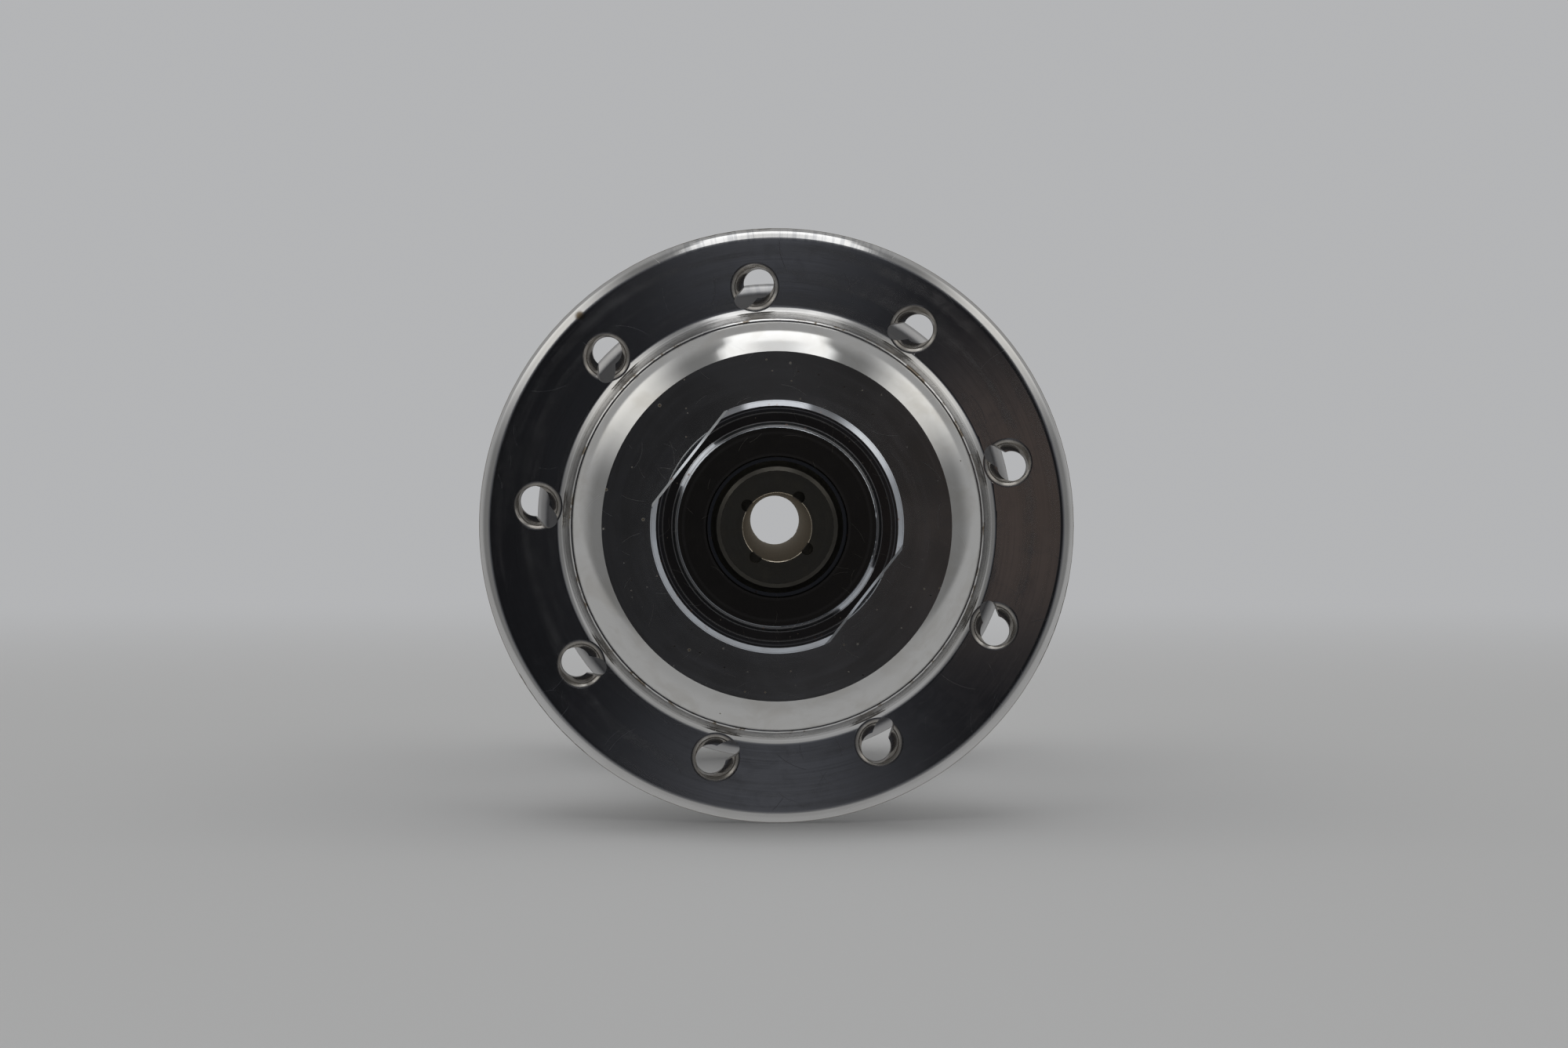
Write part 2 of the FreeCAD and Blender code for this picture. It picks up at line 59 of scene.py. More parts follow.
# Places on the caps, the end nuts and the axle
CAP_FACE_Y = 44.5
NUT_CHAMFER_R = 9.1
COLLAR_SLOPE = (7.5, 7.97)  # radii where the slope at the collar's edge starts and ends
COLLAR_GLINT_LINES = (7.6, 7.89)  # radii of thin lines on that slope: worn edges with painted highlights
WORN_RINGS = ((5.4, 5.5, 0.08), (7.02, 7.12, 0.1))  # on the collar's face: from, to, softness
GROOVE_FLOOR_Y = 49.532
RIDGE_INNER_R = 8.58
RIDGE_LINE_R = 8.89
RIDGE_Y = 49.9
FORK_FACE_Y = 50.0
MOUTH_R = 5.42  # just outside the counterbore round the axle's stub
FLATS_TURN = {"near": 142.0, "far": 74.0}  # in degrees round the axis from +X
FLATS_BEVEL = 8.3  # distance from the axis at which the flats' bevel starts
AXLE_END_Y = 54.0
STUB_FACE_R = 4.2
BORE_R = 2.6

FLAT = 0.006  # how close to a face's plane a point on that face lies
STREAK_R = 18.0  # radius at which a buffing streak has its stated length

# Camera: distances in metres, angles in degrees, lens in millimetres
CAMERA_DISTANCE = 0.3113
CAMERA_LENS = 79.8
CAMERA_AZIMUTH = -0.26
CAMERA_ELEVATION = 0.35
CAMERA_RIGHT = 0.00075
CAMERA_DOWN = 0.00009

# Floor and backdrop
FLOOR_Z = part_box("hub_shell")[0].z
FLOOR_COLOR = (0.78, 0.785, 0.79)
ROOM_RADIUS = 2.0
BACKDROP_COLOR = (1.0, 1.01, 1.03)
BACKDROP_GLOW = 0.455


class Graph:
    """A small helper that builds a node graph; values may be numbers or sockets."""

    def __init__(self, tree):
        self.tree = tree
        tree.nodes.clear()

    def node(self, kind, **settings):
        made = self.tree.nodes.new(kind)
        for key, value in settings.items():
            setattr(made, key, value)
        return made

    def feed(self, socket, value):
        if isinstance(value, bpy.types.NodeSocket):
            self.tree.links.new(value, socket)
        elif value is not None:
            if socket.type == "RGBA" and len(value) == 3:
                value = (*value, 1.0)
            socket.default_value = value

    def math(self, operation, *values):
        made = self.node("ShaderNodeMath", operation=operation)
        for socket, value in zip(made.inputs, values):
            self.feed(socket, value)
        return made.outputs[0]

    def add(self, *values):
        total = values[0]
        for value in values[1:]:
            total = self.math("ADD", total, value)
        return total

    def times(self, *values):
        total = values[0]
        for value in values[1:]:
            total = self.math("MULTIPLY", total, value)
        return total

    def rest(self, value):
        """One minus the value."""
        return self.math("SUBTRACT", 1.0, value)

    def either(self, a, b):
        """The greater of two masks."""
        return self.math("MAXIMUM", a, b)

    def between(self, factor, a, b):
        """The value a where the factor is zero and b where it is one."""
        return self.add(self.times(factor, b), self.times(self.rest(factor), a))

    def weighted(self, base, *terms):
        """The base value plus each term's mask times its weight."""
        return self.add(base, *(self.times(mask, weight) for mask, weight in terms))

    def step(self, value, low, high, to_low=0.0, to_high=1.0):
        """A smooth step between low and high."""
        made = self.node("ShaderNodeMapRange", interpolation_type="SMOOTHSTEP")
        for socket, v in zip(made.inputs[:5], (value, low, high, to_low, to_high)):
            self.feed(socket, v)
        return made.outputs[0]

    def band(self, value, low, high, soft):
        """One inside the band from low to high, falling to zero over soft outside it."""
        return self.times(self.step(value, low - soft, low), self.rest(self.step(value, high, high + soft)))

    def blend(self, factor, a, b):
        """Mixes two colours."""
        made = self.node("ShaderNodeMix", data_type="RGBA", clamp_factor=True)
        self.feed(made.inputs["Factor"], factor)
        self.feed(made.inputs[6], a)
        self.feed(made.inputs[7], b)
        return made.outputs[2]

    def layered(self, base, *coats):
        """The base colour under coats, each with a mask, how much it covers there and a colour."""
        color = base
        for mask, cover, tint in coats:
            color = self.blend(self.times(mask, cover), color, tint)
        return color

    def join(self, x, y, z):
        made = self.node("ShaderNodeCombineXYZ")
        for socket, value in zip(made.inputs, (x, y, z)):
            self.feed(socket, value)
        return made.outputs[0]

    def split(self, vector):
        made = self.node("ShaderNodeSeparateXYZ")
        self.feed(made.inputs[0], vector)
        return made.outputs

    def vector(self, operation, *values):
        made = self.node("ShaderNodeVectorMath", operation=operation)
        for socket, value in zip(made.inputs, values):
            self.feed(socket, value)
        return made.outputs["Value" if operation in ("LENGTH", "DISTANCE", "DOT_PRODUCT") else "Vector"]

    def noise(self, vector, scale, detail, rough, warp=0.0):
        made = self.node("ShaderNodeTexNoise")
        self.feed(made.inputs["Vector"], vector)
        self.feed(made.inputs["Scale"], scale)
        self.feed(made.inputs["Detail"], detail)
        self.feed(made.inputs["Roughness"], rough)
        self.feed(made.inputs["Distortion"], warp)
        return made.outputs[0]

    def cells(self, vector, scale):
        made = self.node("ShaderNodeTexVoronoi")
        self.feed(made.inputs["Vector"], vector)
        self.feed(made.inputs["Scale"], scale)
        return made

    def bump(self, height, microns, normal=None):
        """A surface that stands up by this many microns where the height is one."""
        made = self.node("ShaderNodeBump")
        self.feed(made.inputs["Distance"], microns * 1e-6)
        self.feed(made.inputs["Height"], height)
        self.feed(made.inputs["Normal"], normal)
        return made.outputs[0]


class Metal(Graph):
    """A finish for one of the hub's pieces, with the hub's own coordinates in millimetres."""

    def __init__(self, slot):
        self.material = bpy.data.materials.new(slot + "_finish")
        self.material.use_nodes = True
        super().__init__(self.material.node_tree)
        place = self.node("ShaderNodeTexCoord").outputs["Object"]
        self.point = self.vector("MULTIPLY", place, (1000.0, 1000.0, 1000.0))
        self.x, self.y, self.z = self.split(self.point)
        self.radius = self.math("SQRT", self.add(self.times(self.x, self.x), self.times(self.z, self.z)))
        self.along = self.math("ABSOLUTE", self.y)
        self.angle = self.math("ARCTAN2", self.z, self.x)

    def level(self, height):
        """One on the flat face at this distance from the hub's middle, zero elsewhere."""
        return self.math("COMPARE", self.along, height, FLAT)

    def turned_normal(self, *zones):
        """Exact normals for turned surfaces; each zone is a mask and a direction outward and endward."""
        inside = self.math("MINIMUM", self.add(*(mask for mask, _, _ in zones)), 1.0)
        out = self.add(*(self.times(mask, outward) for mask, outward, _ in zones))
        end = self.add(*(self.times(mask, endward) for mask, _, endward in zones))
        end = self.times(self.add(end, self.rest(inside)), self.math("SIGN", self.y))
        spin = self.math("DIVIDE", out, self.math("MAXIMUM", self.radius, 0.001))
        way = self.node("ShaderNodeVectorTransform", vector_type="NORMAL")
        way.convert_from, way.convert_to = "OBJECT", "WORLD"
        self.feed(way.inputs[0], self.join(self.times(self.x, spin), end, self.times(self.z, spin)))
        mix = self.node("ShaderNodeMix", data_type="VECTOR")
        self.feed(mix.inputs["Factor"], inside)
        self.feed(mix.inputs[4], self.node("ShaderNodeNewGeometry").outputs["Normal"])
        self.feed(mix.inputs[5], self.vector("NORMALIZE", way.outputs[0]))
        return mix.outputs[1]

    def turn(self, turns):
        """The angle of the near end or of the far end, given in degrees, in radians."""
        near, far = math.radians(turns["near"]), math.radians(turns["far"])
        return self.add(near, self.times(self.math("GREATER_THAN", self.y, 0.0), far - near))

    def hole_distance(self):
        """Distance from the axis of the nearest spoke hole's countersink."""
        share = 2 * math.pi / HOLE_COUNT
        turns = self.math("DIVIDE", self.math("SUBTRACT", self.angle, self.turn(HOLE_TURN)), share)
        off = self.times(self.math("SUBTRACT", turns, self.math("ROUND", turns)), share)
        across = self.times(self.radius, self.math("SINE", off))
        out = self.add(self.times(self.radius, self.math("COSINE", off)), -HOLE_PITCH_R)
        return self.math("SQRT", self.add(self.times(across, across), self.times(out, out)))

    def round_axis(self, reach):
        """The point's direction from the axis, as the sides of a circle with this radius."""
        return (self.times(self.math(side, self.angle), reach) for side in ("COSINE", "SINE"))

    def rings(self, pitch, wobble):
        """Turning rings: a noise that varies with radius and along the axis, hardly with angle."""
        line = self.add(self.radius, self.times(self.along, 0.8))
        return self.noise(self.join(self.times(line, 1.0 / pitch), *self.round_axis(wobble)), 1.0, 3.0, 0.6)

    def streaks(self, across, length, seed=0.0):
        """Buffing marks: short streaks that run round the axis."""
        line = self.times(self.add(self.radius, self.along, seed), 1.0 / across)
        return self.noise(self.join(line, *self.round_axis(STREAK_R / length)), 1.0, 4.0, 0.62)

    def scattered(self, spacing, seed):
        """The point in units of the spacing, moved by a seed so that no two patterns are alike."""
        return self.vector("MULTIPLY_ADD", self.point, (1 / spacing,) * 3, (seed, 0.7 * seed, 1.3 * seed))

    def specks(self, size, spacing, share, seed):
        """Small scattered pits: one in the middle of a few of the cells, moved by a seed in millimetres."""
        cell = self.cells(self.scattered(spacing, seed / spacing), 1.0)
        near = self.step(cell.outputs["Distance"], size / spacing, 0.4 * size / spacing)
        return self.times(near, self.few(cell, share))

    def hairs(self, spacing, width, share, seed):
        """Sparse hairlines, short and slightly bent, each lying its own way across the axis."""
        moved = self.scattered(spacing, seed)
        cell = self.cells(moved, 1.0)
        off = self.vector("SUBTRACT", moved, cell.outputs["Position"])
        reach = self.vector("LENGTH", off)
        spread = self.vector("MULTIPLY_ADD", cell.outputs["Color"], (2.0, 0.4, 2.0), (-1.0, -0.2, -1.0))
        across = self.vector("DOT_PRODUCT", off, self.vector("NORMALIZE", spread))
        bent = self.math("ABSOLUTE", self.add(across, self.times(reach, reach, 0.35), -0.05))
        line = self.step(bent, width / spacing, 0.0)
        short = self.step(reach, 0.5, 0.38)
        return self.times(line, short, self.few(cell, share))

    def few(self, cell, share):
        """One for a share of the cells, zero for the rest."""
        pick = self.node("ShaderNodeSeparateColor")
        self.feed(pick.inputs[0], cell.outputs["Color"])
        return self.step(pick.outputs[1], share, share * 0.9)

    def finish(self, color, roughness, normal, metallic=1.0):
        shader = self.node("ShaderNodeBsdfPrincipled")
        self.feed(shader.inputs["Base Color"], color)
        self.feed(shader.inputs["Roughness"], roughness)
        self.feed(shader.inputs["Normal"], normal)
        self.feed(shader.inputs["Metallic"], metallic)
        out = self.node("ShaderNodeOutputMaterial")
        self.feed(out.inputs["Surface"], shader.outputs[0])
        return self.material


def shell_normal(m, hole):
    """The flat flange faces, the round rims and the rounds at the feet of the bosses."""
    rim = m.math("GREATER_THAN", m.radius, RIM_R - 0.02)
    rim = m.times(rim, m.math("GREATER_THAN", m.along, FLANGE_BACK_Y - 0.1))
    rim = m.times(rim, m.math("LESS_THAN", m.along, FLANGE_FACE_Y + 0.1))
    rim_out = m.math("MAXIMUM", m.add(m.radius, -RIM_R), 0.0)
    middle = m.math("MINIMUM", m.math("MAXIMUM", m.along, RIM_Y[0]), RIM_Y[1])
    rim_end = m.math("SUBTRACT", m.along, middle)
    foot = m.math("LESS_THAN", m.radius, FILLET_R + 0.02)
    foot = m.times(foot, m.math("GREATER_THAN", m.radius, BOSS_FOOT_R - 0.1))
    foot = m.times(foot, m.math("GREATER_THAN", m.along, FLANGE_FACE_Y + FLAT))
    foot = m.times(foot, m.math("LESS_THAN", m.along, FILLET_Y - 0.05))
    foot = m.times(foot, m.math("GREATER_THAN", hole, HOLE_LIP_R))
    foot_out = m.math("SUBTRACT", FILLET_R, m.radius)
    foot_end = m.math("SUBTRACT", FILLET_Y, m.along)
    face = m.times(m.level(FLANGE_FACE_Y), m.math("LESS_THAN", m.radius, RIM_R - 0.02))
    return m.turned_normal((rim, rim_out, rim_end), (foot, foot_out, foot_end), (face, 0.0, 1.0))


def polished_alloy():
    """The shell: buffed aluminium, mirror-bright, with buffing marks, smears, grime and small pits."""
    m = Metal("polished_alloy")
    hole = m.hole_distance()

    # Marks that lie all over it
    buff = m.streaks(0.16, 9.0)
    fine = m.streaks(0.05, 3.5, 31.0)
    smear = m.streaks(1.3, 22.0, 5.0)
    haze = m.noise(m.point, 0.16, 3.0, 0.55, 0.4)
    film = m.noise(m.point, 0.7, 4.0, 0.6, 0.8)
    cloud = m.times(m.step(smear, 0.45, 0.72), m.step(film, 0.3, 0.65, 0.4, 1.0))
    pits = m.either(m.specks(0.09, 1.9, 0.2, 7.0), m.specks(0.16, 3.1, 0.1, 23.0))
    lint = m.either(m.hairs(3.3, 0.022, 0.3, 3.0), m.hairs(1.9, 0.014, 0.16, 9.0))

    # The rim, scratched across its top; the flanges' satin inner sides, with painted shade; the
    # countersinks' lips, worn and with painted shade
    rim = m.step(m.radius, RIM_R, RIM_R + 0.3)
    top = m.times(rim, m.band(m.angle, *RIM_TOP, 0.2))
    grain = m.noise(m.join(m.times(m.angle, 70.0), m.times(m.along, 0.4), 0.0), 1.0, 2.0, 0.6)
    inner_satin_and_shade = m.step(m.along, FLANGE_BACK_Y + 1.7, FLANGE_BACK_Y + 1.0)
    inner_satin_and_shade = m.times(inner_satin_and_shade, m.step(m.radius, SWELL_R - 0.5, SWELL_R + 0.5))
    lips_wear_and_shade = m.times(m.band(hole, *HOLE_LIP, 0.2), m.step(m.along, FLANGE_BACK_Y - 0.2, FLANGE_BACK_Y))
    lips_wear_and_shade = m.times(lips_wear_and_shade, m.step(film, 0.25, 0.5, 0.55, 1.0))

    # The boss: the round at its foot, painted shade on its wall, and dirt in the seam against the cap
    foot = m.step(m.radius, FILLET_R + 0.1, FILLET_R - 0.2)
    foot = m.times(foot, m.step(m.along, FLANGE_FACE_Y, FLANGE_FACE_Y + 0.1))
    wall_shade = m.band(m.along, FILLET_Y + 0.1, SEAM_Y - 0.12, 0.06)
    wall_shade = m.times(wall_shade, m.step(m.radius, BOSS_END_R - 0.3, BOSS_END_R - 0.1))
    wall_shade = m.times(wall_shade, m.step(m.radius, BOSS_FOOT_R + 0.3, BOSS_FOOT_R + 0.1))
    seam = m.times(m.band(m.along, SEAM_Y - 0.35, SEAM_Y + 0.1, 0.2), m.step(film, 0.52, 0.62))
    nick = m.step(m.vector("DISTANCE", m.point, RIM_NICK), 0.55, 0.25)
    grime = m.either(m.times(seam, 0.8), m.times(nick, 0.9))

    color = m.layered(
        m.blend(m.step(haze, 0.35, 0.7), (0.84, 0.84, 0.84), (0.79, 0.785, 0.775)),
        (m.step(smear, 0.38, 0.66), 0.45, (0.6, 0.595, 0.58)),
        (m.step(buff, 0.45, 0.75), 0.2, (0.55, 0.545, 0.53)),
        # the countersinks' lips: wear, and a painted dark reflection
        (lips_wear_and_shade, 0.75, (0.36, 0.33, 0.29)),
        # painted shade on the boss's wall
        (wall_shade, m.step(film, 0.3, 0.6, 0.5, 0.8), (0.25, 0.24, 0.23)),
        # the flanges' inner sides: satin, and darker with painted shade between the flanges
        (inner_satin_and_shade, 0.6, (0.5, 0.5, 0.51)),
        (top, m.step(grain, 0.42, 0.62, 0.0, 0.5), (0.42, 0.43, 0.45)),
        (pits, 0.8, (0.16, 0.12, 0.08)),
        (grime, 1.0, (0.17, 0.12, 0.06)),
        (lint, 0.22, (0.9, 0.9, 0.9)),
    )
    rough = m.weighted(
        0.05,
        (m.step(buff, 0.4, 0.75), 0.035),
        (m.step(film, 0.4, 0.8), 0.04),
        (cloud, 0.07),
        (wall_shade, 0.05),
        (inner_satin_and_shade, 0.25),
        (foot, 0.1),
        (rim, 0.04),
        (m.either(grime, lips_wear_and_shade), 0.2),
        (m.either(pits, lint), 0.2),
    )
    height = m.weighted(
        m.times(top, grain, 1.3),
        (buff, 0.45),
        (fine, 0.25),
        (pits, -3.0),
        (lint, -0.5),
        (nick, -4.0),
    )
    bare = m.rest(m.times(cloud, 0.05))
    return m.finish(color, rough, m.bump(height, 1.1, shell_normal(m, hole)), bare)


def cap_alloy():
    """The bearing caps: turned rings, dust and hairlines on the flat, a bright polished shoulder."""
    m = Metal("cap_alloy")
    flat = m.level(CAP_FACE_Y)

    # Marks that lie all over it
    rings = m.rings(0.06, 0.6)
    broad = m.rings(0.5, 0.8)
    buff = m.streaks(0.12, 6.0, 11.0)
    haze = m.noise(m.point, 0.3, 3.0, 0.6, 0.5)
    pits = m.either(m.specks(0.09, 1.3, 0.16, 21.0), m.specks(0.17, 3.7, 0.24, 4.0))
    lint = m.either(m.hairs(2.4, 0.02, 0.34, 14.0), m.hairs(1.5, 0.013, 0.22, 5.0))

    # Marks that lie on the flat only
    dust = m.times(m.either(m.specks(0.09, 0.9, 0.26, 33.0), m.specks(0.17, 2.3, 0.3, 41.0)), flat)
    smear = m.times(m.step(m.streaks(0.8, 13.0, 3.0), 0.4, 0.68), flat)
    smoke = m.times(m.step(m.noise(m.point, 0.13, 3.0, 0.55, 0.5), 0.36, 0.66), flat)

    color = m.layered(
        m.blend(flat, (0.80, 0.80, 0.79), (0.86, 0.84, 0.79)),
        (smoke, 0.75, (0.56, 0.54, 0.5)),
        (m.step(haze, 0.42, 0.7), 0.5, (0.66, 0.64, 0.60)),
        (smear, 0.5, (1.0, 0.985, 0.95)),
        (pits, 0.85, (0.13, 0.10, 0.07)),
        (dust, 1.0, (0.15, 0.115, 0.07)),
        (m.times(lint, flat), 0.4, (0.92, 0.9, 0.84)),
    )
    rough = m.weighted(
        0.075,
        (flat, 0.045),
        (m.step(haze, 0.4, 0.8), 0.05),
        (broad, 0.03),
        (m.either(pits, lint), 0.2),
        (dust, 0.3),
    )
    height = m.times(rings, m.weighted(0.2, (flat, 0.7)))
    height = m.weighted(height, (buff, 0.4), (pits, -3.0), (m.times(lint, flat), -0.8))
    bare = m.rest(m.times(dust, 0.8))
    return m.finish(color, rough, m.bump(height, 1.0, m.turned_normal((flat, 0.0, 1.0))), bare)


def nut_steel():
    """The end nuts: bright blue-grey steel, nearly black on the turned faces that meet the fork."""
    m = Metal("nut_steel")
    floor = m.level(GROOVE_FLOOR_Y)
    ridge = m.level(RIDGE_Y)
    face = m.level(FORK_FACE_Y)
    front = m.math("MINIMUM", m.add(floor, ridge, face), 1.0)

    # Marks that lie all over it, and dust on the flat faces
    rings = m.rings(0.05, 0.4)
    broad = m.rings(0.35, 0.5)
    haze = m.noise(m.point, 0.6, 3.0, 0.6, 0.4)
    rust = m.times(m.specks(0.13, 0.5, 0.4, 2.0), m.step(haze, 0.42, 0.6))
    dust = m.times(m.either(m.specks(0.07, 0.6, 0.3, 17.0), m.specks(0.12, 1.7, 0.3, 29.0)), front)
    lint = m.either(m.hairs(1.4, 0.02, 0.34, 1.0), m.hairs(2.3, 0.018, 0.34, 6.0))

    # The slope round the collar, and thin lines on it and on the ridge: worn edges with painted highlights
    above_floor = GROOVE_FLOOR_Y + 0.03
    cone = m.band(m.radius, *COLLAR_SLOPE, 0.02)
    cone = m.times(cone, m.band(m.along, above_floor, FORK_FACE_Y - 0.02, 0.01))
    lines = zip((*COLLAR_GLINT_LINES, RIDGE_INNER_R, RIDGE_LINE_R), (0.65, 1.0, 1.0, 1.0))
    worn_glints = m.add(*(m.times(m.band(m.radius, r, r + 0.06, 0.02), strength) for r, strength in lines))
    worn_glints = m.times(worn_glints, m.step(m.along, GROOVE_FLOOR_Y - 0.1, GROOVE_FLOOR_Y))

    # Painted shade on the groove's floor and walls and in the mouth, worn rings on the collar's face,
    # painted shade across the top of the chamfer
    wall_shade = m.band(m.radius, RIDGE_INNER_R - 0.08, RIDGE_INNER_R + 0.04, 0.02)
    wall_shade = m.times(wall_shade, m.band(m.along, above_floor, RIDGE_Y - 0.09, 0.01))
    mouth_shade = m.step(m.radius, MOUTH_R + 0.04, MOUTH_R)
    mouth_shade = m.times(mouth_shade, m.step(m.along, FORK_FACE_Y - 1.0, FORK_FACE_Y - 0.6))
    worn = m.add(*(m.band(m.radius, *ring) for ring in WORN_RINGS))
    top_shade = m.times(m.band(m.angle, 1.15, 2.0, 0.2), m.step(m.radius, NUT_CHAMFER_R - 0.1, NUT_CHAMFER_R))

    # The flats: painted shade on their bevels towards the ends, and on the collar's slope away from them
    turn = m.turn(FLATS_TURN)
    cos, sin = m.math("COSINE", turn), m.math("SINE", turn)
    past = m.math("ABSOLUTE", m.add(m.times(m.x, cos), m.times(m.z, sin)))
    aside = m.math("ABSOLUTE", m.math("SUBTRACT", m.times(m.z, cos), m.times(m.x, sin)))
    bevel_shade = m.band(m.along, GROOVE_FLOOR_Y - 0.23, GROOVE_FLOOR_Y - 0.01, 0.02)
    bevel_shade = m.times(bevel_shade, m.step(past, FLATS_BEVEL - 0.03, FLATS_BEVEL))
    bevel_shade = m.times(bevel_shade, m.step(m.add(aside, m.times(haze, 2.0)), 1.6, 3.4))
    shade = m.times(cone, m.step(m.add(aside, haze), 2.5, 3.3))

    color = m.layered(
        m.blend(m.step(haze, 0.3, 0.75), (0.69, 0.735, 0.80), (0.61, 0.63, 0.67)),
        # painted shade across the top of the nut's chamfer
        (top_shade, 0.55, (0.26, 0.26, 0.27)),
        (front, 1.0, (0.34, 0.325, 0.315)),
        # painted shade on the groove's floor
        (floor, 1.0, (0.28, 0.255, 0.235)),
        # painted shade on the groove's wall and in the mouth round the stub
        (m.either(wall_shade, mouth_shade), 1.0, (0.14, 0.14, 0.145)),
        # painted shade on the flats' bevels and on the collar's slope
        (m.either(m.times(bevel_shade, 0.8), m.times(shade, 0.95)), 1.0, (0.14, 0.145, 0.15)),
        (face, 1.0, (0.20, 0.187, 0.165)),
        (m.times(face, worn), 0.5, (0.36, 0.34, 0.31)),
        (rust, 0.5, (0.30, 0.11, 0.03)),
        (dust, 1.0, (0.12, 0.09, 0.055)),
        # thin lines of worn edge with painted highlights
        (worn_glints, 0.8, (0.55, 0.55, 0.57)),
        (lint, 0.3, (0.6, 0.56, 0.48)),
    )
    rough = m.weighted(
        0.07,
        (face, 0.12),
        (m.step(haze, 0.4, 0.8), 0.05),
        (broad, 0.04),
        (m.either(rust, lint), 0.25),
        (dust, 0.3),
        (cone, 0.15),
        (bevel_shade, 0.08),
        (worn_glints, 0.25),
    )
    height = m.add(m.times(rings, m.add(0.3, face)), m.times(broad, m.weighted(1.0, (ridge, 3.0))))
    height = m.weighted(height, (rust, 2.0), (lint, -1.0))
    bare = m.rest(m.times(dust, 0.8))
    return m.finish(color, rough, m.bump(height, 1.0, m.turned_normal((front, 0.0, 1.0))), bare)


def axle_steel():
    """The axle: dull dark steel, turned on its end faces, with a clean smooth bore."""
    m = Metal("axle_steel")
    rings = m.rings(0.09, 0.5)
    haze = m.noise(m.point, 0.8, 3.0, 0.6, 0.4)
    grit = m.noise(m.point, 9.0, 2.0, 0.6)
    bore = m.step(m.radius, BORE_R + 0.03, BORE_R - 0.03)
    face = m.level(AXLE_END_Y)
    edge = m.step(m.radius, STUB_FACE_R - 0.05, STUB_FACE_R + 0.02)
    edge = m.times(edge, m.step(m.along, AXLE_END_Y - 0.6, AXLE_END_Y - 0.4))
    color = m.layered(
        m.blend(m.step(haze, 0.3, 0.75), (0.21, 0.20, 0.175), (0.165, 0.155, 0.13)),
        (edge, 0.8, (0.03, 0.028, 0.025)),
        (bore, 1.0, m.blend(m.step(haze, 0.3, 0.7), (0.88, 0.81, 0.69), (0.72, 0.64, 0.52))),
    )
    dull = m.weighted(0.33, (rings, 0.08), (m.step(haze, 0.4, 0.8), 0.08))
    rough = m.between(bore, dull, 0.2)
    height = m.times(m.weighted(m.times(rings, 2.0), (grit, 1.2)), m.weighted(1.0, (bore, -0.7)))
    return m.finish(color, rough, m.bump(height, 1.5, m.turned_normal((face, 0.0, 1.0))))


def ground_steel(slot, tint, rough_base):
    """The bearings' hidden rings, balls and cages, and the spacers: fine ground metal."""
    m = Metal(slot)
    rings = m.rings(0.05, 0.3)
    haze = m.noise(m.point, 0.7, 2.0, 0.5)
    darker = tuple(0.8 * c for c in tint)
    color = m.blend(m.step(haze, 0.35, 0.7), tint, darker)
    rough = m.weighted(rough_base, (rings, 0.06), (haze, 0.05))
    return m.finish(color, rough, m.bump(rings, 0.8))


def seal_rubber():
    """The seals: matt black rubber with a fine moulded grain."""
    m = Metal("seal_rubber")
    grain = m.noise(m.point, 6.0, 3.0, 0.6)
    dust = m.noise(m.point, 0.5, 3.0, 0.6, 0.3)
    color = m.blend(m.step(dust, 0.45, 0.75), (0.018, 0.018, 0.019), (0.05, 0.047, 0.042))
    rough = m.weighted(0.55, (grain, 0.2))
    return m.finish(color, rough, m.bump(grain, 4.0), 0.0)


FINISHES = {
    "polished_alloy": polished_alloy(),
    "cap_alloy": cap_alloy(),
    "nut_steel": nut_steel(),
    "axle_steel": axle_steel(),
    "bearing_steel": ground_steel("bearing_steel", (0.62, 0.62, 0.62), 0.18),
    "ball_steel": ground_steel("ball_steel", (0.78, 0.78, 0.79), 0.05),
    "cage_brass": ground_steel("cage_brass", (0.74, 0.58, 0.30), 0.25),
    "spacer_alloy": ground_steel("spacer_alloy", (0.68, 0.68, 0.67), 0.22),
    "seal_rubber": seal_rubber(),
}


def dress_cad_pieces():
    """Gives each CAD piece the finish of its material slot."""
    for part in frame["record"]["subparts"]:
        for slot in frame["nodes"][part["node"]].material_slots:
            slot.material = FINISHES[part["material_slot"]]


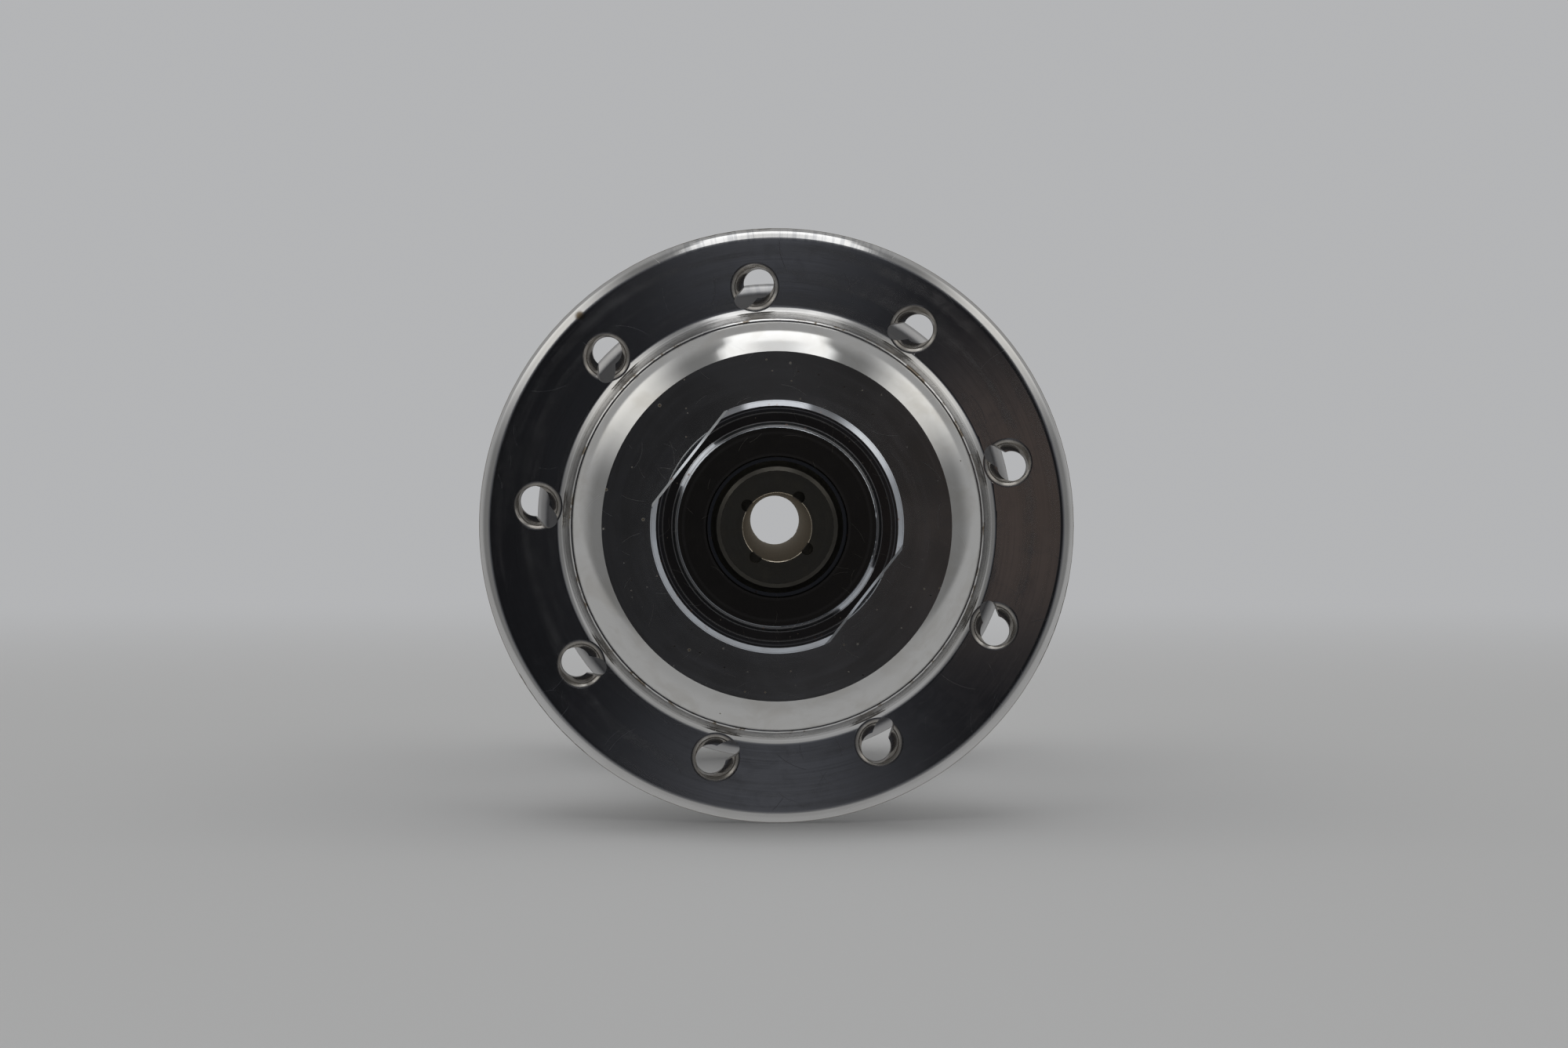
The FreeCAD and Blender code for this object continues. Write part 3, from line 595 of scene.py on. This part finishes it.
def studio_light():
    """Soft light from all round, two round lamps, a softbox overhead, and a dark side at each end."""
    world = bpy.data.worlds.new("studio")
    world.use_nodes = True
    bpy.context.scene.world = world
    g = Graph(world.node_tree)
    x, y, z = g.split(g.node("ShaderNodeTexCoord").outputs["Generated"])

    # A direction's angles in degrees: away from straight ahead of the near end, and round the axis
    ahead = g.math("MULTIPLY", y, -1.0)
    away = g.times(g.math("ARCCOSINE", ahead), 180 / math.pi)
    turn = g.times(g.math("ARCTAN2", z, x), 180 / math.pi)

    # The room: dimmer above and in front of the hub, brighter below and behind it
    low = g.step(g.add(z, g.times(away, -0.012), 0.72), -0.40, -0.58)
    upper = g.step(away, 70.0, 105.0, 0.185, 0.33)
    lower = g.step(away, 60.0, 90.0, 0.32, 0.36)
    room = g.between(low, upper, lower)

    # Two round lamps up to the left and right, each fading faster towards the top
    lamps = []
    for centre, outward, bright in ((43.0, -1.0, 0.56), (138.0, 1.0, 0.58)):
        offset = g.times(g.add(turn, -centre), outward)
        across = g.times(g.step(offset, 28.0, 2.0), g.step(offset, -20.0, -2.0))
        lamps.append(g.times(across, g.band(away, 44.0, 101.0, 8.0), bright))

    # A softbox overhead, dimmer along its middle, and narrower where it runs past the hub
    up = g.math("MAXIMUM", z, 0.02)
    u = g.math("ABSOLUTE", g.math("DIVIDE", x, up))
    v = g.math("DIVIDE", ahead, up)
    half_width = g.step(v, 0.02, 0.4, 0.27, 0.33)
    inside = g.step(g.math("DIVIDE", u, half_width), 1.15, 0.85)
    dip = g.times(g.step(u, 0.22, 0.04), g.step(v, 0.15, 0.35), -0.42)
    softbox = g.times(inside, g.band(v, -0.17, 1.1, 0.08), g.step(z, 0.1, 0.3), g.add(1.0, dip))

    # The dark side in front, which the near end's faces reflect: nearly black, a little lighter straight
    # ahead, with a soft glow above and below that and a brown patch to the right
    flat = g.math("DIVIDE", g.times(z, z), g.math("MAXIMUM", g.add(g.times(x, x), g.times(z, z)), 0.00001))
    glow = g.times(g.math("POWER", flat, 5.0), g.step(away, 2.5, 4.4), 0.062)
    middle = g.step(away, 3.0, 4.4, 0.018, 0.009)
    brown = g.times(g.step(x, 0.04, 0.055), g.step(x, 0.28, 0.1))
    brown = g.times(brown, g.step(g.math("ABSOLUTE", z), 0.06, 0.02))
    dark = g.add(middle, glow, g.times(brown, 0.042))

    # The dark side behind, which the far end's faces and the bore's wall reflect
    behind = g.step(z, -0.3, 0.4, 0.04, 0.1)

    edge = g.step(away, 22.0, 50.0)
    back = g.step(away, 138.0, 162.0)
    level = g.between(edge, dark, g.add(room, *lamps, softbox))
    level = g.between(back, level, behind)
    color = g.blend(edge, (0.93, 0.965, 1.1), (1.0, 1.0, 1.0))
    color = g.blend(brown, color, (1.12, 0.9, 0.82))
    color = g.blend(back, color, (1.09, 1.0, 0.86))
    color = g.blend(g.math("MINIMUM", g.add(*lamps), 1.0), color, (1.0, 0.975, 0.92))
    shader = g.node("ShaderNodeBackground")
    g.feed(shader.inputs["Color"], color)
    g.feed(shader.inputs["Strength"], level)
    out = g.node("ShaderNodeOutputWorld")
    g.feed(out.inputs["Surface"], shader.outputs[0])


def stage_material(name, fade=None):
    """The backdrop's even glow; with fade, lit paper near the hub that turns into it with distance."""
    material = bpy.data.materials.new(name)
    material.use_nodes = True
    g = Graph(material.node_tree)
    paper = g.node("ShaderNodeBsdfDiffuse")
    g.feed(paper.inputs["Color"], FLOOR_COLOR)
    lamp = g.node("ShaderNodeEmission")
    g.feed(lamp.inputs["Color"], BACKDROP_COLOR)
    g.feed(lamp.inputs["Strength"], BACKDROP_GLOW)
    reach = g.vector("LENGTH", g.node("ShaderNodeTexCoord").outputs["Object"])
    mix = g.node("ShaderNodeMixShader")
    g.feed(mix.inputs[0], g.step(reach, *fade) if fade else 1.0)
    g.feed(mix.inputs[1], paper.outputs[0])
    g.feed(mix.inputs[2], lamp.outputs[0])
    out = g.node("ShaderNodeOutputMaterial")
    g.feed(out.inputs["Surface"], mix.outputs[0])
    return material


def add_mesh(name, mesh_builder, material):
    mesh = bpy.data.meshes.new(name)
    bm = bmesh.new()
    mesh_builder(bm)
    bmesh.ops.translate(bm, verts=bm.verts, vec=(0, 0, FLOOR_Z))
    bm.to_mesh(mesh)
    bm.free()
    piece = bpy.data.objects.new(name, mesh)
    bpy.context.scene.collection.objects.link(piece)
    mesh.materials.append(material)
    return piece


def studio_room():
    """A pale floor under the hub inside a plain pale dome; neither shows in the polished metal."""
    def disc(bm):
        bmesh.ops.create_circle(bm, cap_ends=True, segments=96, radius=ROOM_RADIUS)

    def dome(bm):
        bmesh.ops.create_uvsphere(bm, u_segments=64, v_segments=32, radius=ROOM_RADIUS)

    floor = add_mesh("floor", disc, stage_material("pale_floor", (0.1, 0.6)))
    backdrop = add_mesh("backdrop", dome, stage_material("pale_backdrop"))
    for polygon in backdrop.data.polygons:
        polygon.use_smooth = True
    for piece in (floor, backdrop):
        piece.visible_glossy = False
    backdrop.visible_diffuse = False
    backdrop.visible_shadow = False
    backdrop.visible_transmission = False


def camera():
    """The camera looks along the axle from just above it."""
    data = bpy.data.cameras.new("camera")
    data.lens = CAMERA_LENS
    data.sensor_width = 36.0
    data.sensor_fit = "HORIZONTAL"
    data.clip_start = 0.01
    data.clip_end = 20.0
    view = bpy.data.objects.new("camera", data)
    bpy.context.scene.collection.objects.link(view)
    azimuth, elevation = math.radians(CAMERA_AZIMUTH), math.radians(CAMERA_ELEVATION)
    back = Vector((
        math.sin(azimuth) * math.cos(elevation),
        -math.cos(azimuth) * math.cos(elevation),
        math.sin(elevation),
    ))
    turn = (-back).to_track_quat("-Z", "Y")
    place = back * CAMERA_DISTANCE + turn @ Vector((CAMERA_RIGHT, -CAMERA_DOWN, 0))
    view.matrix_world = Matrix.Translation(place) @ turn.to_matrix().to_4x4()
    bpy.context.scene.camera = view


dress_cad_pieces()
studio_light()
studio_room()
camera()
bpy.context.scene.view_settings.view_transform = "Standard"
